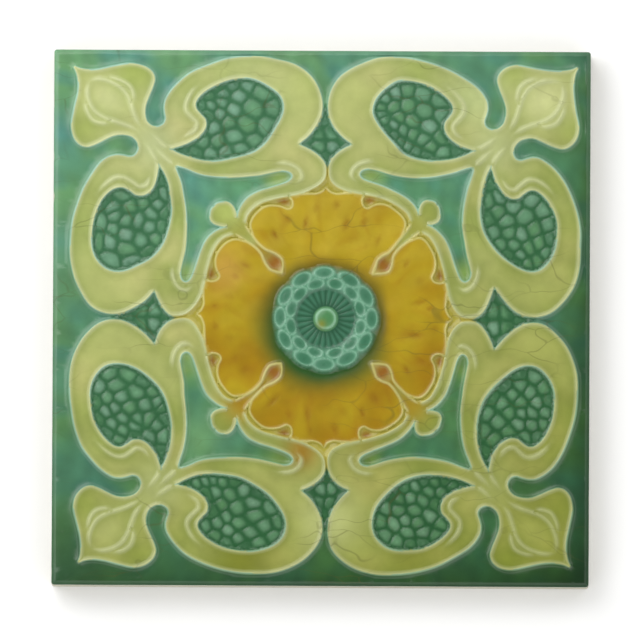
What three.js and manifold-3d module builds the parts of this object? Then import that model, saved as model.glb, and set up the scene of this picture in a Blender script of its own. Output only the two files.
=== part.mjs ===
// Art nouveau tile: one square pressed clay tile, glazed face up, with a moulded flower relief.
// Millimetres, +Z up. The back lies on the floor at z = 0, the middle of the tile is at x = y = 0.
import * as THREE from 'three';
import { mergeVertices } from 'three/addons/utils/BufferGeometryUtils.js';
import Module from 'manifold-3d';

// The clay body
const TILE_SIDE = 152.4;
const GROUND_HEIGHT = 9.0;
const CORNER_RADIUS = 0.8;
const EDGE_BEVEL_WIDTH = 1.3;
const EDGE_BEVEL_DROP = 0.7;
const BACK_ARRIS = 0.5;

// The keyed back
const KEY_COUNT = 8;
const KEY_WIDTH = 8.0;
const KEY_DEPTH = 1.2;
const KEY_RIM = 10.0;

// The relief, as rises above the plain ground
const BUD_TIP_MARGIN = 4.7;
const LEAF_RISE = 0.5;
const PETAL_RISE = 0.35;
const LINE_RISE = 1.0;
const LINE_CREST = 0.6;
const LINE_FOOT = 1.3;

// The middle boss
const BOSS_RADIUS = 15.2;
const BOSS_RISE = 1.7;
const DISH_RADIUS = 8.6;
const DISH_DEPTH = 1.1;
const PEARL_RADIUS = 3.0;
const PEARL_RISE = 1.9;
const SCALLOPS = 12;
const SCALLOP_RISE = 0.6;

// The flower's lines, drawn on a tile whose bud tips are 70.4 from the middle lines.
// Each is one eighth of the drawing, the part above the diagonal of the upper right quarter.
const DRAWN_REACH = 70.4;
const DRAWN = {
  arm: [[70.4, 70.4], [68.6, 69.6], [66, 69.25], [62.5, 69.5], [58, 70.4], [54.2, 71], [51, 70.4], [48.9, 68.9],
    [48.1, 66.8], [48.8, 64.3], [49.9, 61.7], [50.7, 59.2], [50.7, 56.8], [49.9, 54.5], [48.2, 53.1], [46.3, 53],
    [44.8, 53.9], [44.4, 55.4], [44.9, 57.1], [45.3, 59], [44.9, 61.3], [43, 64.2], [40, 66.8], [35.5, 69.3],
    [30, 71.3], [25, 72.3], [20, 72.6], [15, 72.3], [10, 70.9], [5.8, 68.4], [2.6, 65], [1.1, 61.4], [1, 57.9],
    [2.2, 54.5], [4.6, 51.4], [7.8, 48.9]],
  lobe: [[7.8, 48.9], [5.2, 47.8], [2.9, 46], [1.5, 43.9], [1.2, 41.6], [2, 39.5], [4, 37.9], [7, 36.9], [10.5, 36.1],
    [14, 35.1], [17.5, 33.6], [20.5, 31.8], [22.3, 29.6], [22.9, 27]],
  sepal: [[22.9, 27], [22.1, 24.6], [20, 22.2], [17.4, 20.3], [14.9, 18.9], [13.1, 17.3], [12.5, 15.2], [12.8, 12.8]],
  petal: [[0, 37.4], [1.2, 36.2], [3, 35.3], [5.5, 35], [8.2, 34.4], [10.2, 33.2], [11.6, 31.1]],
  petalSide: [[11.6, 31.1], [13.4, 31.6], [15.6, 31.6], [18, 30.7], [20.4, 29.2], [22.9, 27]],
  gap: [[42.6, 42.6], [40, 41.9], [36.5, 40.7], [32.5, 39.9], [28, 39.5], [23.5, 39.6], [19, 40.3], [15.5, 41.3],
    [12.4, 42], [10.2, 41.6], [9.5, 40.3], [10.6, 38.9], [13.8, 37.6], [18, 36], [21.6, 34.1], [24, 32], [25.4, 29.8]],
  finial: [[25.4, 29.8], [26.4, 31.8], [28.2, 33.4], [30.5, 33.8], [32.5, 32.5]],
  kidney: [[43.2, 47.2], [40, 45.6], [36, 44.4], [31.5, 44], [27, 44.5], [23, 45.9], [19, 48.7], [15.8, 52.1],
    [13.7, 55.7], [13.1, 59.2], [14.1, 62.4], [17, 65.1], [20.6, 66.4], [25, 66.4], [29.5, 65.3], [33.3, 63.1],
    [35.7, 60.5], [36.1, 58.2], [35, 56.3], [33.9, 54.9], [33.8, 52.8], [35.2, 50.6], [37.8, 48.8], [40.5, 47.8],
    [43.2, 47.2]],
};
// Lines that stand alone inside a leaf
const DRAWN_FREE = {
  hookLine: [[34.8, 64.8], [37.2, 62.6], [38.8, 59.9], [38.8, 57.5], [37.4, 55.6], [36.2, 54.2], [36.2, 52.6]],
  turnLine: [[12, 44.2], [9.4, 44], [7.6, 42.6], [7.1, 40.6], [8.2, 39]],
  budInner: [[66, 66], [63, 66.7], [60, 66.1], [57.2, 64.4], [55.3, 61.6], [54.3, 58.4], [53.2, 55.4], [51.6, 52.8]],
};

// Nothing finer than this is kept where solids are joined
const FINEST = 0.02;

const scale = (TILE_SIDE / 2 - BUD_TIP_MARGIN) / DRAWN_REACH;
const low = GROUND_HEIGHT - 1;
const leafTop = GROUND_HEIGHT + LEAF_RISE;
const crestTop = GROUND_HEIGHT + LINE_RISE;
const wasm = await Module();
wasm.setup();

// Solids
function solid(positions, triangles) {
  let volume = 0;
  const a = new THREE.Vector3();
  const b = new THREE.Vector3();
  const c = new THREE.Vector3();
  for (let i = 0; i < triangles.length; i += 3) {
    a.fromArray(positions, triangles[i] * 3);
    b.fromArray(positions, triangles[i + 1] * 3);
    c.fromArray(positions, triangles[i + 2] * 3);
    volume += a.dot(b.cross(c));
  }
  const faces = volume < 0 ? triangles.slice().reverse() : triangles;
  return new wasm.Manifold(new wasm.Mesh({
    numProp: 3,
    vertProperties: Float32Array.from(positions),
    triVerts: Uint32Array.from(faces),
    tolerance: FINEST,
  }));
}

function solidOf(geometry) {
  geometry.deleteAttribute('normal');
  geometry.deleteAttribute('uv');
  const merged = mergeVertices(geometry, 1e-4);
  const index = Array.from(merged.index.array);
  const kept = [];
  for (let i = 0; i < index.length; i += 3) {
    const [p, q, r] = index.slice(i, i + 3);
    if (p !== q && q !== r && r !== p) kept.push(p, q, r);
  }
  return solid(Array.from(merged.attributes.position.array), kept);
}

function wound(points, clockwise) {
  const same = THREE.ShapeUtils.isClockWise(points) === clockwise;
  return same ? points.slice() : points.slice().reverse();
}

function prism(outline, bottom, top, holes = []) {
  const shape = new THREE.Shape(wound(outline, false));
  shape.holes = holes.map((hole) => new THREE.Path(wound(hole, true)));
  const geometry = new THREE.ExtrudeGeometry(shape, { depth: top - bottom, bevelEnabled: false });
  geometry.translate(0, 0, bottom);
  return solidOf(geometry);
}

// Plan lines
function smooth(points, turn = 0.38, reach = 6.5) {
  const curve = new THREE.SplineCurve(points.map(([x, y]) => new THREE.Vector2(x * scale, y * scale)));
  const fine = curve.getPoints(points.length * 10);
  const kept = [fine[0]];
  let turned = 0;
  let last = null;
  for (let i = 1; i < fine.length - 1; i += 1) {
    const heading = fine[i + 1].clone().sub(fine[i]).angle();
    if (last !== null) {
      const change = Math.abs(((heading - last + 3 * Math.PI) % (2 * Math.PI)) - Math.PI);
      turned += change;
    }
    last = heading;
    const far = fine[i].distanceTo(kept[kept.length - 1]);
    const left = fine[i].distanceTo(fine[fine.length - 1]);
    if ((turned > turn || far > reach) && far > 0.8 && left > 0.8) {
      kept.push(fine[i]);
      turned = 0;
    }
  }
  kept.push(fine[fine.length - 1]);
  return kept;
}

const SWAP = (p) => new THREE.Vector2(p.y, p.x);
const line = {};
for (const [name, points] of Object.entries(DRAWN)) line[name] = smooth(points);
const freeLine = {};
for (const [name, points] of Object.entries(DRAWN_FREE)) freeLine[name] = smooth(points);

function join(...parts) {
  const all = [];
  for (const part of parts) {
    for (const p of part) {
      if (all.length === 0 || p.distanceTo(all[all.length - 1]) > 1e-6) all.push(p);
    }
  }
  if (all[0].distanceTo(all[all.length - 1]) < 1e-6) all.pop();
  return all;
}

function mirrored(points) {
  return points.map(SWAP).reverse();
}

// The four copies of a plan line in the quarters of the tile, and the eight on both sides of the diagonals
const QUARTERS = [[1, 1], [-1, 1], [-1, -1], [1, -1]];
function quarterCopies(points) {
  return QUARTERS.map(([sx, sy]) => points.map((p) => new THREE.Vector2(p.x * sx, p.y * sy)));
}
function eightCopies(points) {
  return [...quarterCopies(points), ...quarterCopies(points.map(SWAP))];
}

// A raised line: a strip with a flat crest and sloped sides along a plan line, with mitred corners.
// It is a closed ring, or it is open, and then its ends stand up square or run out into the leaf.
function ridge(points, { closed = false, runOut = false } = {}) {
  const floor = GROUND_HEIGHT - 0.3;
  const n = points.length;
  const positions = [];
  const triangles = [];
  for (let i = 0; i < n; i += 1) {
    const end = !closed && (i === 0 || i === n - 1);
    const before = points[closed ? (i + n - 1) % n : Math.max(i - 1, 0)];
    const after = points[closed ? (i + 1) % n : Math.min(i + 1, n - 1)];
    const first = points[i].clone().sub(before).normalize();
    const second = after.clone().sub(points[i]).normalize();
    const along = first.clone().add(second).normalize();
    const mitre = end ? 1 : 1 / Math.max(along.dot(first), 0.3);
    const side = new THREE.Vector2(-along.y, along.x).multiplyScalar(mitre);
    const narrow = runOut && end ? 0.4 : 1;
    const top = runOut && end ? leafTop - 0.1 : crestTop;
    const section = [[-LINE_FOOT / 2, floor], [-LINE_CREST / 2, top], [LINE_CREST / 2, top], [LINE_FOOT / 2, floor]];
    for (const [across, z] of section) {
      positions.push(points[i].x + side.x * across * narrow, points[i].y + side.y * across * narrow, z);
    }
  }
  const spans = closed ? n : n - 1;
  for (let i = 0; i < spans; i += 1) {
    const next = ((i + 1) % n) * 4;
    for (let k = 0; k < 4; k += 1) {
      const l = (k + 1) % 4;
      triangles.push(i * 4 + k, i * 4 + l, next + l, i * 4 + k, next + l, next + k);
    }
  }
  if (!closed) {
    const e = (n - 1) * 4;
    triangles.push(0, 2, 1, 0, 3, 2, e, e + 1, e + 2, e, e + 2, e + 3);
  }
  return solid(positions, triangles);
}

// The clay body: a slab with rounded corners, a sloped margin on the face and a small arris behind
function roundedSquare(side, radius) {
  const h = side / 2;
  const points = [];
  const steps = 4;
  const corners = [[h - radius, h - radius, 0], [radius - h, h - radius, 1], [radius - h, radius - h, 2],
    [h - radius, radius - h, 3]];
  for (const [cx, cy, quarter] of corners) {
    for (let i = 0; i <= steps; i += 1) {
      const angle = (quarter + i / steps) * Math.PI / 2;
      points.push([cx, cy, Math.cos(angle), Math.sin(angle), radius]);
    }
  }
  return points;
}

function body() {
  const plan = roundedSquare(TILE_SIDE, CORNER_RADIUS);
  const levels = [[BACK_ARRIS, 0], [0, BACK_ARRIS], [0, GROUND_HEIGHT - EDGE_BEVEL_DROP],
    [EDGE_BEVEL_WIDTH, GROUND_HEIGHT]];
  const positions = [];
  const triangles = [];
  const n = plan.length;
  for (const [inset, z] of levels) {
    const shrink = (TILE_SIDE / 2 - inset) / (TILE_SIDE / 2);
    for (const [cx, cy, c, s, r] of plan) positions.push((cx + c * r) * shrink, (cy + s * r) * shrink, z);
  }
  for (let level = 0; level < levels.length - 1; level += 1) {
    for (let i = 0; i < n; i += 1) {
      const a = level * n + i;
      const b = level * n + ((i + 1) % n);
      triangles.push(a, b, b + n, a, b + n, a + n);
    }
  }
  const top = (levels.length - 1) * n;
  for (let i = 1; i < n - 1; i += 1) {
    triangles.push(0, i + 1, i);
    triangles.push(top, top + i, top + i + 1);
  }
  return solid(positions, triangles);
}

// Shallow parallel grooves in the back, closed at their ends, that key the tile to its bedding
function keys() {
  const pitch = (TILE_SIDE - 2 * KEY_RIM) / KEY_COUNT;
  const long = TILE_SIDE - 2 * KEY_RIM;
  const grooves = [];
  for (let i = 0; i < KEY_COUNT; i += 1) {
    const x = (i + 0.5 - KEY_COUNT / 2) * pitch;
    const groove = new THREE.BoxGeometry(Math.min(KEY_WIDTH, pitch * 0.8), long, 2 * KEY_DEPTH);
    groove.translate(x, 0, 0);
    grooves.push(solidOf(groove));
  }
  return grooves;
}

// The middle boss: a raised ring round a sunk dish with a pearl, its rim set with two rows of ovals
function boss() {
  const g = GROUND_HEIGHT;
  const ring = (BOSS_RADIUS + DISH_RADIUS) / 2;
  const profile = [[0, g - 1], [BOSS_RADIUS, g - 1], [BOSS_RADIUS, g + PETAL_RISE], [BOSS_RADIUS * 0.96, g + BOSS_RISE * 0.7],
    [ring, g + BOSS_RISE], [DISH_RADIUS, g + BOSS_RISE * 0.8], [DISH_RADIUS * 0.8, g + BOSS_RISE - DISH_DEPTH],
    [0, g + BOSS_RISE - DISH_DEPTH]];
  const disc = new THREE.LatheGeometry(profile.map(([r, z]) => new THREE.Vector2(r, z)), 24);
  disc.rotateX(Math.PI / 2);
  const parts = [solidOf(disc)];
  const pearl = new THREE.SphereGeometry(1, 12, 6);
  pearl.rotateX(Math.PI / 2);
  pearl.scale(PEARL_RADIUS, PEARL_RADIUS, PEARL_RISE + DISH_DEPTH - BOSS_RISE);
  pearl.translate(0, 0, g + BOSS_RISE - DISH_DEPTH);
  parts.push(solidOf(pearl));
  for (let i = 0; i < SCALLOPS; i += 1) {
    for (const row of [0, 1]) {
      const angle = ((i + row * 0.5) / SCALLOPS) * 2 * Math.PI;
      const radius = row === 0 ? BOSS_RADIUS - 1.6 : DISH_RADIUS + 1.9;
      const oval = new THREE.SphereGeometry(1, 8, 4);
      oval.rotateX(Math.PI / 2);
      oval.scale(row === 0 ? 1.5 : 1.6, row === 0 ? 2.8 : 2.0, SCALLOP_RISE);
      oval.rotateZ(angle);
      oval.translate(Math.cos(angle) * radius, Math.sin(angle) * radius, g + BOSS_RISE * 0.92);
      parts.push(solidOf(oval));
    }
  }
  return parts;
}

function sum(parts) {
  let list = parts;
  while (list.length > 1) {
    const next = [];
    for (let i = 0; i < list.length; i += 2) {
      next.push(i + 1 < list.length ? list[i].add(list[i + 1]) : list[i]);
    }
    list = next;
  }
  return list[0];
}

// The leaf work of a quarter: one plateau with two pebbled fields and one plain gap left open in it
const spray = join(line.arm, line.lobe, line.sepal, mirrored(line.sepal), mirrored(line.lobe), mirrored(line.arm));
const kidney = join(line.kidney);
const gap = join(line.gap, line.finial, mirrored(line.finial), mirrored(line.gap));
const plateaus = QUARTERS.map(([sx, sy]) => {
  const flip = (points) => points.map((p) => new THREE.Vector2(p.x * sx, p.y * sy));
  return prism(flip(spray), low, leafTop, [kidney, kidney.map(SWAP), gap].map(flip));
});

// The petals: one plateau with eight lobes round the middle
const half = join(line.petal, line.petalSide, line.sepal);
const quarter = join(half, half.map(SWAP).reverse());
const rosette = join(quarter, quarter.map((p) => new THREE.Vector2(p.x, -p.y)).reverse(),
  quarter.map((p) => new THREE.Vector2(-p.x, -p.y)), quarter.map((p) => new THREE.Vector2(-p.x, p.y)).reverse());
plateaus.push(prism(rosette, low, GROUND_HEIGHT + PETAL_RISE));

// The raised lines: round the leaf work and its openings, over each side's petals, and alone inside the leaves
const petalRim = [...line.petal, ...line.petalSide.slice(1)];
const rimOver = [...petalRim.map((p) => new THREE.Vector2(-p.x, p.y)).reverse(), ...petalRim.slice(1)];
const budRim = [...freeLine.budInner.slice().reverse(), ...freeLine.budInner.slice(1).map(SWAP)];
const ridges = [
  ...quarterCopies(spray).map((points) => ridge(points, { closed: true })),
  ...quarterCopies(gap).map((points) => ridge(points, { closed: true })),
  ...eightCopies(kidney).map((points) => ridge(points, { closed: true })),
  ...[0, 1, 2, 3].map((turn) => ridge(rimOver.map((p) => p.clone().rotateAround(new THREE.Vector2(), turn * Math.PI / 2)))),
  ...quarterCopies(budRim).map((points) => ridge(points, { runOut: true })),
  ...eightCopies(freeLine.hookLine).map((points) => ridge(points, { runOut: true })),
  ...eightCopies(freeLine.turnLine).map((points) => ridge(points, { runOut: true })),
];

let tile = body();
for (const groove of keys()) tile = tile.subtract(groove);
tile = sum([tile, ...plateaus, ...ridges, ...boss()]);

const mesh = tile.getMesh();
const geometry = new THREE.BufferGeometry();
geometry.setAttribute('position', new THREE.BufferAttribute(Float32Array.from(mesh.vertProperties), mesh.numProp));
geometry.setIndex(new THREE.BufferAttribute(Uint32Array.from(mesh.triVerts), 1));
geometry.computeVertexNormals();

const glaze = new THREE.MeshStandardMaterial({ name: 'majolica_glaze', color: 0x6b9a6a, roughness: 0.15, metalness: 0 });
const tileMesh = new THREE.Mesh(geometry, glaze);
tileMesh.name = 'glazed_tile';

const group = new THREE.Group();
group.add(tileMesh);
export default group;
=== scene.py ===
import math
import random

import bmesh
import bpy
import numpy as np
from mathutils import Matrix, Vector, geometry, kdtree


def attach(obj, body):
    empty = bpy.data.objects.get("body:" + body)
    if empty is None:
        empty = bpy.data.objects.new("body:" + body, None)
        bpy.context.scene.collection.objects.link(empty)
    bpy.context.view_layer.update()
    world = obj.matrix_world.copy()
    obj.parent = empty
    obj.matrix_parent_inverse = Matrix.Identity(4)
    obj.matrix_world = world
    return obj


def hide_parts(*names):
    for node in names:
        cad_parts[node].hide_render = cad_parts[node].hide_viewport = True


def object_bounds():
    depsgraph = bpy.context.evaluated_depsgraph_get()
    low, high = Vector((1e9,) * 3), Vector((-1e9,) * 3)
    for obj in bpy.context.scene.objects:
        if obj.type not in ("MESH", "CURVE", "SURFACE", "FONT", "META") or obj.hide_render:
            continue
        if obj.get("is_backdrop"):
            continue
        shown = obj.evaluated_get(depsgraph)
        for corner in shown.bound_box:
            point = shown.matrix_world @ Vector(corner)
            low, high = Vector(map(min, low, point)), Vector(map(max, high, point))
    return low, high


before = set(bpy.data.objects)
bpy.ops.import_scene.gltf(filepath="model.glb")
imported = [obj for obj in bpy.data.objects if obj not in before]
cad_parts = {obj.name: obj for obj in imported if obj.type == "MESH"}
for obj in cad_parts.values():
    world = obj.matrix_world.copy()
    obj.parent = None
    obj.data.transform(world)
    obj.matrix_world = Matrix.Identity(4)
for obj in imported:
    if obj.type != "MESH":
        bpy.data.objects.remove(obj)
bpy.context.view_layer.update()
rng = random.Random(1903)

# Sizes of the tile in millimetres, as in the part's source
SIDE = 152.4
GROUND = 9.0
CORNER_RADIUS = 0.8
EDGE_WIDTH = 1.3
EDGE_DROP = 0.7
ARRIS = 0.5
KEY_COUNT = 8
KEY_WIDTH = 8.0
KEY_DEPTH = 1.2
KEY_RIM = 10.0
BUD_TIP_MARGIN = 4.7
DRAWN_REACH = 70.4
LEAF = 0.4
PETAL = 0.3
CREST = 0.75
LINE_HALF = 0.9
FINE_HALF = 0.65
DISH_RADIUS = 8.6
PEARL_RADIUS = 3.0
SCALLOPS = 12

HALF = SIDE / 2
GROW = (HALF - BUD_TIP_MARGIN) / DRAWN_REACH
MM = 0.001

# The drawing: one eighth of the flower's lines, read above the diagonal of the upper right quarter
ARM = [(70.4, 70.4), (68.6, 69.6), (66, 69.25), (62.5, 69.5), (58, 70.4), (54.2, 71), (51, 70.4),
       (48.9, 68.9), (48.1, 66.8), (48.8, 64.3), (49.9, 61.7), (50.7, 59.2), (50.7, 56.8), (49.9, 54.5),
       (48.2, 53.1), (46.3, 53), (44.8, 53.9), (44.4, 55.4), (44.9, 57.1), (45.3, 59), (44.9, 61.3),
       (43, 64.2), (40, 66.8), (35.5, 69.3), (30, 71.3), (25, 72.3), (20, 72.6), (15, 72.3), (10, 70.9),
       (5.8, 68.4), (2.6, 65), (1.1, 61.4), (1, 57.9), (2.2, 54.5), (4.6, 51.4), (7.8, 48.9)]
LOBE = [(7.8, 48.9), (5.2, 47.8), (2.7, 46), (1, 43.9), (0.5, 41.6), (0.8, 39.3), (2.3, 37.4), (5, 36),
        (8, 35.2), (11.5, 34.6), (14.5, 33.8), (17.5, 32.7), (20.3, 31.1), (22.4, 29.1), (23.5, 26.4)]
SEPAL = [(23.5, 26.4), (22.5, 24.6), (21.1, 22.7), (19.9, 21.1), (18.6, 19.6), (17.1, 18.3), (15.6, 17.7),
         (14.3, 17.1), (12.8, 15.9), (12.3, 14.1), (12.4, 12.4)]
# The petals' side runs into the sepal's line at its third point
SEPAL_JOIN = 2
PETAL_RIM = [(0, 36.6), (1.2, 35.4), (3, 34.8), (5.2, 35), (8, 35.2)]
PETAL_SIDE = [(10.4, 34.8), (9.8, 33.2), (10.1, 31.6), (11.3, 31), (13, 31.7), (15.2, 31.9), (17.4, 31.3),
              (19.6, 29.8), (21.3, 28), (22, 25.8), (21.1, 22.7)]
GAP = [(42.6, 42.6), (40, 41.9), (36.5, 40.7), (32.5, 39.9), (28, 39.5), (23.5, 39.6), (19, 40.3),
       (15.5, 41.3), (12.4, 42), (10.2, 41.6), (9.5, 40.3), (10.6, 38.9), (13.8, 37.6), (18, 36),
       (21.6, 34.1), (23.7, 32), (24.8, 30.2), (25.6, 28.2)]
FINIAL = [(25.6, 28.2), (25.7, 30.2), (26.3, 31.8), (27.5, 32.7), (29.2, 32.7), (30.6, 32.2), (31.4, 31.4)]
KIDNEY = [(43.2, 47.2), (40, 45.6), (36, 44.4), (31.5, 44), (27, 44.5), (23, 45.9), (19, 48.7),
          (15.8, 52.1), (13.7, 55.7), (13.1, 59.2), (14.1, 62.4), (17, 65.1), (20.6, 66.4), (25, 66.4),
          (29.5, 65.3), (33.3, 63.1), (35.7, 60.5), (36.1, 58.2), (35, 56.3), (33.9, 54.9), (33.8, 52.8),
          (35.2, 50.6), (37.8, 48.8), (40.5, 47.8), (43.2, 47.2)]
HOOK_LINE = [(34.8, 64.8), (37.2, 62.6), (38.8, 59.9), (38.8, 57.5), (37.4, 55.6), (36.2, 54.2),
             (36.2, 52.6), (37, 51.4), (39, 50.2)]
TURN_LINE = [(14, 43.9), (11.4, 44), (9.2, 43.3), (7.6, 41.8), (7.2, 39.9), (8.4, 38.4)]
BUD_INNER = [(66, 66), (63, 66.7), (60, 66.1), (57.2, 64.4), (55.3, 61.6), (54.3, 58.4), (53.2, 55.4),
             (51.6, 52.8)]
BUD_OUTER = [(60.2, 67.2), (57.2, 66.5), (54.9, 64.9), (54, 62.4), (54.2, 60)]
NECK = [(43.2, 47.2), (45.6, 48.7), (48.2, 50.9)]
NECK_RIB = [(42.6, 42.6), (44.8, 44.8), (47.4, 47.4)]
# Points that a smooth line gets from each drawn point to the next
PER_SPAN = 24


def spline(points):
    """A smooth line through the drawn points, in millimetres on the tile."""
    p = np.array(points, float) * GROW
    p = np.vstack([2 * p[0] - p[1], p, 2 * p[-1] - p[-2]])
    out = []
    for i in range(1, len(p) - 2):
        for k in range(PER_SPAN):
            t = k / PER_SPAN
            out.append(0.5 * (2 * p[i] + (p[i + 1] - p[i - 1]) * t
                              + (2 * p[i - 1] - 5 * p[i] + 4 * p[i + 1] - p[i + 2]) * t * t
                              + (3 * p[i] - p[i - 1] - 3 * p[i + 1] + p[i + 2]) * t ** 3))
    out.append(p[-2])
    return np.array(out)


LINES = {"arm": ARM, "lobe": LOBE, "sepal": SEPAL, "rim": PETAL_RIM, "side": PETAL_SIDE, "gap": GAP,
         "finial": FINIAL, "kidney": KIDNEY, "hook": HOOK_LINE, "turn": TURN_LINE, "bud": BUD_INNER,
         "bud2": BUD_OUTER, "neck": NECK, "rib": NECK_RIB}
# How far from its start and from its end each free line dies away into the leaf
FADING = {"hook": (5.0, 2.5), "turn": (3.0, 3.0), "bud2": (2.5, 2.5), "neck": (0.1, 4.0), "rib": (0.1, 4.0),
          "bud": (4.0, 3.0)}
FULL_AT_ONCE = (0.1, 0.1)
# The lines that crowd together at the petals are finer than the others
FINE = ("sepal", "rim", "side")
line = {name: spline(points) for name, points in LINES.items()}


def swap(points):
    """The same line mirrored in the diagonal and run from its other end."""
    return points[::-1, ::-1]


outline = {
    "leaf": np.vstack([line["arm"], line["lobe"][1:], line["sepal"][1:], swap(line["sepal"])[1:],
                       swap(line["lobe"])[1:], swap(line["arm"])[1:-1]]),
    "kidney": line["kidney"][:-1],
    "gap": np.vstack([line["gap"], line["finial"][1:], swap(line["finial"])[1:], swap(line["gap"])[1:-1]]),
}
eighth = np.vstack([line["rim"], line["side"][1:], line["sepal"][SEPAL_JOIN * PER_SPAN + 1:]])
outline["petals"] = np.vstack([[[0, 0]], eighth, swap(eighth)[1:]])


def inside(points, poly):
    """Which of the points lie inside the closed outline."""
    x, y = points[:, 0], points[:, 1]
    hit = np.zeros(len(points), bool)
    for (ax, ay), (bx, by) in zip(poly, np.roll(poly, -1, axis=0)):
        if ay == by:
            continue
        cross = (ay > y) != (by > y)
        hit ^= cross & (x < (bx - ax) * (y - ay) / (by - ay) + ax)
    return hit


def fold(points):
    """Each point's place in the one eighth that is drawn."""
    q = np.abs(points)
    return np.column_stack([q.min(axis=1), q.max(axis=1)])


# Close samples of every line, with the direction of travel, to measure distances from
SAMPLE_STEP = 0.12
samples = []
for name, pts in line.items():
    spans = np.diff(pts, axis=0)
    lengths = np.hypot(spans[:, 0], spans[:, 1])
    total = lengths.sum()
    run = 0.0
    half = FINE_HALF if name in FINE else LINE_HALF
    start, end = FADING.get(name, FULL_AT_ONCE)
    for p, span, length in zip(pts[:-1], spans, lengths):
        count = max(1, int(length / SAMPLE_STEP))
        for k in range(count):
            t = k / count
            along = run + length * t
            fade = min(1.0, along / start + 0.15, (total - along) / end + 0.15)
            samples.append((p + span * t, span / length, half, fade))
        run += length
tree = kdtree.KDTree(len(samples))
for i, (place, _, _, _) in enumerate(samples):
    tree.insert((*place, 0), i)
tree.balance()


def nearest_line(points):
    """Distance to the nearest drawn line, how full that line's ridge is there, and half its width."""
    q = fold(points)
    dist, full, half = np.empty(len(q)), np.empty(len(q)), np.empty(len(q))
    for i, (x, y) in enumerate(q):
        _, j, d = tree.find((x, y, 0))
        base, way, half[i], full[i] = samples[j]
        dx, dy = x - base[0], y - base[1]
        off = abs(dx * way[1] - dy * way[0])
        dist[i] = off if abs(dx * way[0] + dy * way[1]) < 0.1 else d
    return dist, full, half


class Cloud:
    """Points of the face's mesh, kept a least distance apart, and sorted into square cells."""
    CELL = 0.5

    def __init__(self):
        self.cells = {}
        self.points = []

    def add(self, x, y, apart):
        """Adds a point, unless another one is closer than the least distance."""
        i, j = int(x // self.CELL), int(y // self.CELL)
        reach = 1 if apart <= self.CELL else 3
        for a in range(i - reach, i + reach + 1):
            for b in range(j - reach, j + reach + 1):
                for px, py in self.cells.get((a, b), ()):
                    if (px - x) ** 2 + (py - y) ** 2 < apart * apart:
                        return
        self.cells.setdefault((i, j), []).append((x, y))
        self.points.append((x, y))


# The longest and the least step from point to point along a line, and the bend that ends a step early
LONGEST_STEP = 1.15
LEAST_STEP = 0.3
BEND = 0.17
# Beyond this the drawing is stretched over the tile's margin, so its points stand closer together
MARGIN_FROM = 69.5
MARGIN_STEP = 0.45


def stations(pts):
    """Places along a line, close together where it bends."""
    kept = [0]
    turned = 0.0
    for i in range(1, len(pts) - 1):
        a, b = pts[i] - pts[i - 1], pts[i + 1] - pts[i]
        turned += abs(math.atan2(a[0] * b[1] - a[1] * b[0], a @ b))
        far = np.hypot(*(pts[i] - pts[kept[-1]]))
        longest = LONGEST_STEP if pts[i][1] < MARGIN_FROM else MARGIN_STEP
        if (turned > BEND and far > LEAST_STEP) or far > longest:
            kept.append(i)
            turned = 0.0
    if np.hypot(*(pts[-1] - pts[kept[-1]])) < LEAST_STEP and len(kept) > 1:
        kept.pop()
    return kept + [len(pts) - 1]


# Rows of points on and beside each line: how far from it they are, and their least distance
ROWS = ((0.0, 0.12), (0.26, 0.2), (0.5, 0.2), (0.8, 0.34), (1.2, 0.34))
# How far the points of the plain fields keep off the lines and off the tile's middle
FOOT_FREE = 1.4
BOSS_CLEAR = 16.5
FIELD_EDGE = HALF - EDGE_WIDTH - 0.25


def snapped(x, y):
    """A point close to a mirror line is put on it."""
    if x < 0.12:
        x = 0.0
    if abs(y - x) < 0.17:
        x = y = (x + y) / 2
    return x, y


eighth_cloud = Cloud()
for row, apart in ROWS:
    for pts in line.values():
        for i in stations(pts):
            way = pts[min(i + 1, len(pts) - 1)] - pts[max(i - 1, 0)]
            way /= np.hypot(*way)
            for side in ((1, -1) if row else (0,)):
                x, y = pts[i] + side * row * np.array([-way[1], way[0]])
                if x < -0.01 or y - x < -0.01 or y > FIELD_EDGE:
                    continue
                x, y = snapped(max(x, 0), y)
                if row and nearest_line(np.array([[x, y]]))[0][0] < 0.9 * row:
                    continue
                eighth_cloud.add(x, y, apart)

# The plain fields between the lines get a loose grid, finer in the petals where their dimples are
PETAL_PITCH = 1.0
FIELD_PITCH = 1.3
ROW_SHARE = 0.87
for pitch, petals in ((PETAL_PITCH, True), (FIELD_PITCH, False)):
    grid = []
    for i in range(int(HALF / pitch) + 2):
        for j in range(int(HALF / (ROW_SHARE * pitch)) + 2):
            x = (i + 0.5 * (j % 2)) * pitch + rng.uniform(-0.15, 0.15) * pitch
            y = j * pitch * ROW_SHARE + rng.uniform(-0.15, 0.15) * pitch
            if 0 <= x <= y < FIELD_EDGE and math.hypot(x, y) > BOSS_CLEAR:
                grid.append(snapped(x, y))
    grid = np.array(grid)
    away, _, _ = nearest_line(grid)
    in_petals = inside(grid, outline["petals"])
    in_kidney = inside(grid, outline["kidney"])
    for (x, y), far, p, k in zip(grid, away, in_petals, in_kidney):
        if far > FOOT_FREE and p == petals and not k:
            eighth_cloud.add(x, y, 0.6 * pitch)

face = Cloud()
for x, y in eighth_cloud.points:
    for a, b in ((x, y), (y, x)):
        for sx in (1, -1):
            for sy in (1, -1):
                face.add(a * sx, b * sy, 0.05)


# Pebbles: every pebbled field has its own uneven set, and the four small lozenges have theirs
PEBBLES_IN_FIELD = 27
LOZENGE = [(2.2, 52.4), (-2.2, 52.3), (2.1, 47.9), (-2.1, 48.0), (5.6, 49.9), (-5.6, 49.8), (0.1, 55.9),
           (-0.1, 44.6)]


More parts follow.
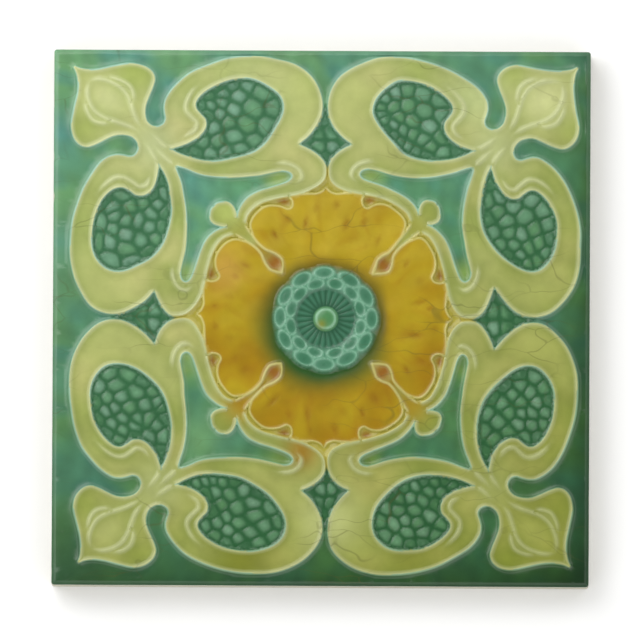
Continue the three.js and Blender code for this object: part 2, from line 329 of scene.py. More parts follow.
def spread(poly, count):
    """Places for pebbles, evenly spread over a field by moving each to the middle of its own ground."""
    low, high = poly.min(axis=0), poly.max(axis=0)
    xs, ys = np.meshgrid(np.arange(low[0], high[0], 0.6), np.arange(low[1], high[1], 0.6))
    ground = np.column_stack([xs.ravel(), ys.ravel()])
    ground = ground[inside(ground, poly)]
    seeds = np.array([ground[rng.randrange(len(ground))] for _ in range(count)])
    for _ in range(9):
        owner = ((ground[:, None] - seeds[None]) ** 2).sum(axis=2).argmin(axis=1)
        for i in range(count):
            if (owner == i).any():
                seeds[i] = seeds[i] * 0.25 + ground[owner == i].mean(axis=0) * 0.75
    return seeds


def unfold(points, sx, sy, turned):
    """Lays points of the drawn eighth in one of the eight places on the tile."""
    p = points[:, ::-1] if turned else points
    return p * np.array([sx, sy])


PLACES = [(sx, sy, turned) for sx in (1, -1) for sy in (1, -1) for turned in (False, True)]
LOZENGE_PLACES = ((1, 1, False), (1, -1, False), (1, 1, True), (-1, 1, True))
fields = []
for place in PLACES:
    count = PEBBLES_IN_FIELD + rng.randint(-3, 4)
    fields.append(unfold(spread(outline["kidney"], count), *place))
for place in LOZENGE_PLACES:
    uneven = np.array([[rng.uniform(-0.4, 0.4), rng.uniform(-0.3, 0.3)] for _ in LOZENGE])
    fields.append(unfold(np.array(LOZENGE) * GROW + uneven, *place))
seeds = np.vstack(fields)
pebble_tone = np.array([rng.uniform(-1, 1) for _ in seeds])
pebble_lift = np.array([rng.uniform(-0.09, 0.09) for _ in seeds])
# How softly pebbles meet each other and the raised lines, and the room a line takes from them
JOINT_SOFT = 0.22
RIM_SOFT = 0.12
RIM_ROOM = 0.72
# Points are compared with pebbles in square blocks, each with a surround that holds every near pebble
BLOCK = 12.0
SURROUND = 9


def pebble_depth(points):
    """How far inside its pebble each point lies, in millimetres, and which pebble that is."""
    depth = np.full(len(points), -1.0)
    owner = np.zeros(len(points), int)
    blocks = {}
    for i, (u, v) in enumerate(np.floor(points / BLOCK).astype(int)):
        blocks.setdefault((u, v), []).append(i)
    for (u, v), ids in blocks.items():
        low = np.array([u, v]) * BLOCK - SURROUND
        high = np.array([u + 1, v + 1]) * BLOCK + SURROUND
        near = np.nonzero(((seeds > low) & (seeds < high)).all(axis=1))[0]
        if len(near) < 2:
            continue
        part, some = points[ids], seeds[near]
        d2 = ((part[:, None] - some[None]) ** 2).sum(axis=2)
        first = d2.argmin(axis=1)
        rows = np.arange(len(part))
        gap = np.sqrt(((some[first][:, None] - some[None]) ** 2).sum(axis=2)) + 1e-9
        off = (d2 - d2[rows, first][:, None]) / (2 * gap)
        off[rows, first] = 99
        depth[ids] = -JOINT_SOFT * np.log(np.exp(-off / JOINT_SOFT).sum(axis=1))
        owner[ids] = near[first]
    room = nearest_line(points)[0] - RIM_ROOM
    both = np.exp(-np.clip(depth, -3, 9) / RIM_SOFT) + np.exp(-np.clip(room, -3, 9) / RIM_SOFT)
    return -RIM_SOFT * np.log(both), owner


def in_pebbles(points):
    """Which points lie in a pebbled field or in one of the four lozenges."""
    q = fold(points)
    loz = (q[:, 0] < 8 * GROW) & (q[:, 1] > 42 * GROW) & (q[:, 1] < 59 * GROW) & ~inside(q, outline["leaf"])
    return inside(q, outline["kidney"]) | loz


# Each pebble gets points on rays from its middle, where they come to these depths
DEPTHS = (0.05, 0.3, 0.6, 1.0)
RAYS = 14
reach = np.arange(0.0, 3.6, 0.06)
for i, seed in enumerate(seeds):
    turn = rng.uniform(0, 1)
    angles = (np.arange(RAYS) + turn) * 2 * math.pi / RAYS
    rays = seed + reach[:, None, None] * np.column_stack([np.cos(angles), np.sin(angles)])[None]
    flat = rays.reshape(-1, 2)
    depth, owner = pebble_depth(flat)
    depth[owner != i] = -1
    depth = depth.reshape(len(reach), RAYS)
    face.add(seed[0], seed[1], 0.25)
    for level in DEPTHS:
        for k in range(RAYS):
            below = np.nonzero(depth[:, k] < level)[0]
            if len(below) and 0 < below[0]:
                face.add(*rays[below[0], k], 0.22)

# The middle boss: two staggered rows of ovals round a ribbed dish, with a pearl in the middle.
# Each oval is its middle's distance and angle, and half its width across and along the rim.
OVAL_ROWS = ((12.95, 1.65, 3.05), (10.1, 1.45, 2.4))
ovals = []
for row, (far, across, along) in enumerate(OVAL_ROWS):
    for i in range(SCALLOPS):
        angle = (i + 0.5 * row) / SCALLOPS * 2 * math.pi + rng.uniform(-0.045, 0.045)
        ovals.append((far + rng.uniform(-0.12, 0.12), angle, across * rng.uniform(0.92, 1.05),
                      along * rng.uniform(0.9, 1.04)))
OVAL_RINGS = (0.0, 0.4, 0.7, 0.86, 1.0, 1.14, 1.3)
for far, angle, across, along in ovals:
    c, s = math.cos(angle), math.sin(angle)
    for ring in OVAL_RINGS:
        n = 1 if ring == 0 else 20
        for k in range(n):
            a = 2 * math.pi * k / n
            u, v = far + across * ring * math.cos(a), along * ring * math.sin(a)
            face.add(c * u - s * v, s * u + c * v, 0.2)


def add_ring(radius, count, apart, shift=0.0):
    """Adds points evenly on a circle round the tile's middle."""
    for k in range(count):
        a = 2 * math.pi * (k + shift) / count
        face.add(radius * math.cos(a), radius * math.sin(a), apart)


RIBS = 26
for radius in (3.75, 4.3, 5.2, 6.2, 7.2, 8.0, 8.5):
    add_ring(radius, RIBS * 4, 0.16)
for radius, count in ((0, 1), (0.8, 8), (1.5, 14), (2.1, 20), (2.5, 26), (2.8, 30), (3.05, 34), (3.3, 36)):
    add_ring(radius, count, 0.2)
for radius in (15.4, 15.8, 16.3, 16.9):
    add_ring(radius, 120, 0.3, 0.5)

# The margin: rows along the sloped edge out to the tile's sides, with rounded corners
EDGE_ROWS = (EDGE_WIDTH + 0.25, EDGE_WIDTH, EDGE_WIDTH - 0.3, 0.65, 0.3, 0.1, 0.0)
PITCH = 1.0
CORNER_STEPS = 6
core = HALF - EDGE_WIDTH - 0.6


def rim_plan(inset):
    """The tile's outline, drawn in by an inset, counter-clockwise."""
    radius = max(CORNER_RADIUS - inset * 0.4, 0.25)
    h = HALF - inset
    pts = []
    n = int(round(2 * core / PITCH))
    for quarter in range(4):
        a0 = quarter * math.pi / 2
        c, s = math.cos(a0), math.sin(a0)
        for k in range(n + 1):
            u, v = h, -core + 2 * core * k / n
            pts.append((c * u - s * v, s * u + c * v))
        for k in range(CORNER_STEPS + 1):
            a = k / CORNER_STEPS * math.pi / 2
            u, v = h - radius + radius * math.cos(a), h - radius + radius * math.sin(a)
            pts.append((c * u - s * v, s * u + c * v))
    return pts


for inset in EDGE_ROWS[:-1]:
    for x, y in rim_plan(inset):
        face.add(x, y, 0.08)
rim_start = len(face.points)
for x, y in rim_plan(0.0):
    face.add(x, y, 0.02)


# Heights. Everything below is worked out for all the points at once.
def rise(x, low, high):
    """0 below low, 1 above high, and a smooth step between."""
    t = np.clip((x - low) / (high - low), 0, 1)
    return t * t * (3 - 2 * t)


def waves(p, size, seed):
    """A slow uneven swell over the tile, between about -1 and 1."""
    r = random.Random(seed)
    total = np.zeros(len(p))
    for k in range(7):
        a = r.uniform(0, 2 * math.pi)
        f = 2 * math.pi / (size * r.uniform(0.7, 1.5))
        total += np.sin(f * (p[:, 0] * math.cos(a) + p[:, 1] * math.sin(a)) + r.uniform(0, 6.3))
    return total / 3.2


P = np.array(face.points)
Q = fold(P)
radius = np.hypot(P[:, 0], P[:, 1])
theta = np.arctan2(P[:, 1], P[:, 0])
away, full, half = nearest_line(P)
in_leaf = inside(Q, outline["leaf"])
in_kidney = inside(Q, outline["kidney"])
in_gap = inside(Q, outline["gap"])
pebbled = in_pebbles(P) & (radius > 40)
in_leaf &= ~in_kidney & ~in_gap
in_petals = inside(Q, outline["petals"]) & ~in_leaf
depth, owner = pebble_depth(P)


def out_of_oval(far, angle, across, along):
    """How far out of one of the boss's ovals each point is, 1 on its raised rim."""
    u = P[:, 0] * math.cos(angle) + P[:, 1] * math.sin(angle) - far
    v = -P[:, 0] * math.sin(angle) + P[:, 1] * math.cos(angle)
    return np.hypot(u / across, v / along)


ring = np.full(len(P), 9.0)
for oval in ovals:
    size = out_of_oval(*oval)
    better = np.abs(size - 1) < np.abs(ring - 1)
    ring = np.where((size < 1.35) & ((ring > 1.35) | better), size, ring)
# How far each point is outside the boss's scalloped edge, in millimetres
outer = np.full(len(P), 9.0)
for oval in ovals[:SCALLOPS]:
    across = oval[2]
    outer = np.minimum(outer, (out_of_oval(*oval) - 1) * across)
outer = np.minimum(outer, radius - 12.8)
boss = 1 - rise(outer, 0.0, 1.2)
oval_rim = np.exp(-((ring - 1) * 1.9 / 0.3) ** 2) * (radius > DISH_RADIUS - 0.6) * (outer < 0.8)
rib = np.cos(theta * RIBS) * rise(radius, 3.4, 4.2) * (1 - rise(radius, 7.9, 8.6))

# The fields between the lines: leaves and petals swell, the plain ground sinks beside the lines
base = np.full(len(P), GROUND)
base = np.where(in_leaf, GROUND + LEAF + 0.12 * rise(away, 0.8, 5.0), base)
base = np.where(in_petals, GROUND + PETAL + 0.25 * rise(radius, 17, 33), base)
plain = in_gap | ~(in_leaf | in_petals | pebbled)
base = np.where(plain, base - 0.1 * (1 - rise(away, 0.8, 3.0)), base)
pebble_top = (0.36 + 0.4 * pebble_lift[owner]) * rise(depth, -0.2, 1.7) ** 0.8
base = np.where(pebbled, GROUND - 0.1 + pebble_top, base)
base += 0.05 * waves(P, 38, 5) + 0.02 * waves(P, 9, 8)

# Petal dimples, long ways out from the middle, and the sunk drop at each sepal's tip
DIMPLES = [(5.3, 27.2, 2.6, 1.0), (14.6, 22.6, 2.4, 1.0), (3.2, 31.6, 1.6, 0.8), (11.2, 27.6, 1.9, 0.8)]
dimple = np.zeros(len(P))
for x, y, long, wide in DIMPLES:
    for sx, sy, turned in PLACES:
        cx, cy = ((y, x) if turned else (x, y))
        cx, cy = cx * sx + rng.uniform(-0.9, 0.9), cy * sy + rng.uniform(-0.9, 0.9)
        out = math.atan2(cy, cx) + rng.uniform(-0.25, 0.25)
        du, dv = P[:, 0] - cx, P[:, 1] - cy
        u = (du * math.cos(out) + dv * math.sin(out)) / (long * rng.uniform(0.7, 1.2))
        v = (dv * math.cos(out) - du * math.sin(out)) / (wide * rng.uniform(0.7, 1.2))
        dimple = np.maximum(dimple, rng.uniform(0.35, 1.0) * np.exp(-(u * u + v * v) * 1.3))
dimple *= in_petals
DROP_AT = 15.0
drop = np.exp(-(((Q[:, 0] - DROP_AT) ** 2 + (Q[:, 1] - DROP_AT) ** 2) / 1.7 ** 2) * 1.2) * in_leaf
curl = np.exp(-(((Q[:, 0] - 12.1) / 1.5) ** 2 + ((Q[:, 1] - 33.7) / 1.1) ** 2)) * ~(in_leaf | in_petals)
base -= 0.22 * dimple + 0.4 * drop + 0.15 * curl
moat = (1 - rise(outer, 0.6, 4.0)) * (outer > 0)
base -= 0.3 * moat * in_petals

# The raised lines, round in section
profile = 0.5 * (1 + np.cos(math.pi * np.clip(away / (half + 0.05), 0, 1))) * full
Z = base * (1 - profile) + (GROUND + CREST) * profile

# The boss over the ground: the foot and the rise of its round of ovals, its dish, and its pearl with a rim
BOWL_FOOT = 0.35
BOWL_RISE = 1.25
BOWL_MIDDLE = 11.6
BOWL_HALF = 4.1
DISH_HEIGHT = 0.75
PEARL_FOOT = 0.7
PEARL_RISE = 1.15
PEARL_RIM = 2.75


def dome(off, half_width):
    """A round dome's share of its height, by the distance from its middle."""
    return np.sqrt(np.clip(1 - (off / half_width) ** 2, 0, 1))


bowl = GROUND + BOWL_FOOT + BOWL_RISE * dome(radius - BOWL_MIDDLE, BOWL_HALF)
dish = GROUND + DISH_HEIGHT + 0.08 * rib
boss_top = np.where(radius < DISH_RADIUS + 0.3, dish + (bowl - dish) * rise(radius, 8.0, 9.2), bowl)
boss_top += 0.2 * oval_rim
pearl = GROUND + PEARL_FOOT + PEARL_RISE * dome(radius, PEARL_RADIUS + 0.3)
pearl += 0.12 * np.exp(-((radius - PEARL_RIM) / 0.3) ** 2)
boss_top = np.where(radius < PEARL_RADIUS + 0.32, np.maximum(pearl, dish), boss_top)
Z = np.where(boss > 0, Z + (np.maximum(boss_top, Z) - Z) * boss, Z)

# The sloped edge
inset = HALF - np.abs(P).max(axis=1)
edge = np.clip(1 - inset / EDGE_WIDTH, 0, 1)
slope = GROUND - EDGE_DROP * (0.55 * edge + 0.45 * edge ** 3) + 0.04 * waves(P, 14, 3)
Z = np.where(inset < EDGE_WIDTH + 0.2, slope, Z)
Z[rim_start:] = GROUND - EDGE_DROP


# Colours. Each glaze is named for where it lies.
def hue(text):
    """An sRGB hex colour as linear red, green and blue."""
    v = np.array([int(text[i:i + 2], 16) for i in (1, 3, 5)]) / 255
    return np.where(v <= 0.04045, v / 12.92, ((v + 0.055) / 1.055) ** 2.4)


def blend(a, b, share):
    """Lays colour b over colour a, with its share at each point."""
    return a + (b - a) * np.asarray(share)[:, None]


def flood(text):
    """One colour over the whole face."""
    return np.tile(hue(text), (len(P), 1))


def patch(colour, text, x, y, size, share=1.0, real=False):
    """Lays a soft patch of another glaze, in the drawn eighth or at one real place."""
    at = P if real else Q
    d2 = ((at[:, 0] - x * GROW) ** 2 + (at[:, 1] - y * GROW) ** 2) / size ** 2
    return blend(colour, hue(text), share * np.exp(-d2))


# Painted shade: the glazes are made darker and less blue from the upper left of the tile to its lower right,
# where the light falls off
low = np.clip(0.5 + (0.35 * P[:, 0] - 0.65 * P[:, 1]) / SIDE, 0, 1)


def paint_falloff_shade(colour, first, last, red, blue):
    """Paints shade over a glaze, smoothly darker towards the lower right of the tile, and takes some of its
    red and blue from it.
    """
    share = low ** 1.5
    tinge = np.column_stack([1 - red * share, np.ones(len(P)), 1 - blue * share])
    return colour * tinge * (first + (last - first) * low)[:, None]


# Ground: copper green, bluer where it is thin
ground = blend(flood("#5F9470"), hue("#5A8F80"), np.clip(0.35 + 0.5 * waves(P, 30, 11), 0, 1))
ground = blend(ground, hue("#6E9A58"), np.clip(0.15 + 0.5 * waves(P, 24, 12), 0, 0.5))
ground = patch(ground, "#93A85C", 12.5, 40.3, 4.0, 0.9)
ground = blend(ground, hue("#4C8A86"), np.clip(0.35 * waves(P, 11, 21), 0, 0.4))
# Painted shade, darker towards the lower right of the tile
ground = paint_falloff_shade(ground, np.where(in_gap, 1.2, 0.97), 0.3, 0.3, 0.5)
# Painted shade along the right and lower edges of the ground, on the side away from the light
painted_edge_shade = np.exp((P[:, 0] - HALF) / 6) + np.exp((-P[:, 1] - HALF) / 6)
ground = ground * (1 - 0.55 * np.minimum(painted_edge_shade, 1.25))[:, None] ** np.array([1.1, 0.95, 1.25])
ground *= (1 + 0.09 * waves(P, 6, 22))[:, None]
ground = patch(ground, "#2B4A2B", -70, -70, 17, 0.65, real=True)
ground = patch(ground, "#7FA965", -36, -34, 8, 0.4, real=True)
pocket = ~(in_leaf | in_petals | in_kidney | in_gap) & (radius < 44)
ground = np.where(pocket[:, None], hue("#A39A3C"), ground)
ground = blend(ground, hue("#8A5A1C"), 0.95 * curl)

# Leaves: yellow green, paler over the neck and the bud, greener where they are narrow
leaf = blend(flood("#B9C17C"), hue("#C9C986"), np.clip(0.4 + 0.6 * waves(P, 26, 13), 0, 1))
leaf = blend(leaf, hue("#A5B262"), np.clip(0.1 + 0.5 * waves(P, 17, 14), 0, 0.6))
for text, x, y, size, share in (("#CED4A0", 48, 48, 7, 0.9), ("#CCD392", 60.5, 60.5, 6.5, 0.95),
                                ("#A6B55E", 53, 68, 5, 0.8), ("#C2CA80", 8, 62, 8, 0.7),
                                ("#A9B767", 27, 69.5, 6, 0.7), ("#A8B768", 28, 42.5, 5, 0.7),
                                ("#A2AE5A", 28.5, 30, 4.0, 0.9), ("#B9B658", 23, 25.5, 4.2, 0.9),
                                ("#BB9C2E", 17.5, 18.5, 3.2, 1.0), ("#B9942A", 14, 14.5, 3.2, 1.0)):
    leaf = patch(leaf, text, x, y, size, share)
# Painted shade, darker towards the lower right of the tile
leaf = paint_falloff_shade(leaf, 0.9, 0.46, 0.0, 0.6)
# The glaze pools a little darker along the foot of the raised lines
leaf *= 1 - np.outer(0.75 * (1 - rise(away, 0.9, 3.6)), (0.18, 0.14, 0.22))
# Glaze pooled brown beside the lower petals and dark olive along the two lower arms
for text, x, y, size, share in (("#9E7A14", -24, -24, 5, 0.9), ("#946F1C", -7, -38, 4.5, 0.9),
                                ("#987C18", 24, -24, 5, 0.85), ("#8A7F30", 12, -36, 5, 0.5),
                                ("#6F741F", -23, -69, 8, 0.8), ("#7A7D2C", 25, -69, 7, 0.5),
                                ("#7F8436", 64, -52, 6, 0.5), ("#8FA254", -70, 22, 9, 0.5),
                                ("#C0C88C", -21, 70, 12, 0.3), ("#CBCF94", 62, 62, 8, 0.5),
                                ("#BCC284", 1, -57, 9, 0.6), ("#BBC68C", 43, 62, 8, 0.6),
                                ("#B0BE68", -28, 30, 4, 0.6)):
    leaf = patch(leaf, text, x, y, size, share, real=True)

# Petals: iron amber, browner towards the bottom and in the dimples, with a painted shadow of the boss round
# it
petal = blend(flood("#BFA52E"), hue("#B08A1C"), np.clip(0.3 + 0.5 * waves(P, 18, 15) - P[:, 1] / 70, 0, 1))
petal = blend(petal, hue("#C9B04A"), np.clip(0.3 * waves(P, 8, 16) + P[:, 1] / 60, 0, 0.7))
petal = blend(petal, hue("#96641C"), 0.85 * dimple)
# Painted shade, darker towards the lower right of the tile
petal = paint_falloff_shade(petal, 0.88, 0.62, 0.0, 0.6) * np.array([1.0, 0.99, 0.6])
# Painted shadow of the boss: brown all round its foot, and dark green heaviest on its lower side
boss_shadow_side = 0.5 - 0.5 * np.cos(theta - math.radians(75))
streak = np.clip(np.sin(theta * 29 + 2.5 * waves(P, 12, 19)), 0, 1) * rise(radius, 17, 24)
petal = blend(petal, hue("#94640F"), 0.3 * streak * np.clip(0.6 + 0.6 * waves(P, 14, 20), 0, 1))
boss_shadow = 1 - rise(outer, -0.5, 3.6 + 6.0 * boss_shadow_side)
petal = patch(petal, "#C79A50", -29, 13, 6, 0.5, real=True)
petal = blend(petal, hue("#6A480B"), 0.68 * (1 - rise(outer, 0.0, 5.0)))
petal = blend(petal, hue("#2B5220"), np.clip(boss_shadow * (0.5 + 0.65 * boss_shadow_side), 0, 1))

# Pebbles: pale sea green on top and dark green in the joints, both with painted shade towards the lower
# right of the tile
top_share = rise(depth, 0.05, 1.6) * (0.85 + 0.15 * np.clip(waves(P, 9, 23) + 1 - low, 0, 1))
tone = pebble_tone[owner]
pebble = blend(flood("#78A889"), hue("#86AE98"), np.clip(tone, 0, 1))
pebble = blend(pebble, hue("#699C70"), np.clip(-tone, 0, 1))
joint = blend(flood("#417350"), hue("#28603A"), low)
pebble = paint_falloff_shade(blend(joint, pebble, top_share), 0.92, 0.64, 0.1, 0.3)

# Boss: sea green ovals with thin pale rims, a dark ribbed dish and a greener pearl
boss_glaze = blend(flood("#437B5C"), hue("#54866A"), np.clip(0.5 + 0.5 * waves(P, 7, 17), 0, 1))
boss_glaze = blend(boss_glaze, hue("#366A4D"), np.clip(1 - ring, 0, 1) * 0.8 * (ring < 1))
boss_glaze = blend(boss_glaze, hue("#7EAF92"), 0.75 * oval_rim)
on_rib = np.clip(0.5 + 0.5 * rib, 0, 1) * rise(radius, 3.2, 6.0) * 0.8
dish_glaze = blend(flood("#27553B"), hue("#457A5F"), on_rib)
boss_glaze = blend(boss_glaze, dish_glaze, 1 - rise(radius, 8.1, 9.2))
pearl_glaze = blend(flood("#4A8250"), hue("#82B38E"), np.exp(-((radius - PEARL_RIM) / 0.45) ** 2))
pearl_glaze = patch(pearl_glaze, "#83842C", -1.2, -1.6, 1.3, 0.8, real=True)
boss_glaze = np.where((radius < 3.35)[:, None], pearl_glaze, boss_glaze)

# Every point gets the glaze of its field, and the sunk drops are brown
glaze = np.where(in_leaf[:, None], leaf, ground)
glaze = np.where(in_petals[:, None], petal, glaze)
glaze = np.where(pebbled[:, None], pebble, glaze)
glaze = blend(glaze, hue("#8E561E"), np.clip(1.25 * drop, 0, 1))

# Over the raised lines the glaze is thin and the pale clay shows, and a painted highlight lies along them as
# well, bluish beside the ground
warm = in_leaf | in_petals
thin_glaze_and_highlight = full * (1 - rise(away / half, 0.05, np.where(warm, 0.85, 0.7)))
pale_crest_and_highlight = np.where(warm[:, None], hue("#CAD19A"), hue("#A9D0B8"))
pale_crest_and_highlight = np.where((in_petals | pocket | (in_leaf & (radius < 36)))[:, None], hue("#D8D084"), pale_crest_and_highlight)
# Painted shade on the pale crests too, darker towards the lower right
pale_crest_and_highlight = paint_falloff_shade(pale_crest_and_highlight, 0.95, 0.55, 0.0, 0.3)
glaze = blend(glaze, pale_crest_and_highlight, 0.92 * thin_glaze_and_highlight)
glaze = np.where(boss[:, None] > 0, glaze + (boss_glaze - glaze) * boss[:, None], glaze)
# Painted light on the sloped edge: a painted highlight towards the upper left and painted shade towards the
# lower right
glaze = blend(glaze, hue("#7FAA86"), 0.5 * edge * (1 - low))
glaze = blend(glaze, hue("#2E4A33"), 0.8 * edge * low)
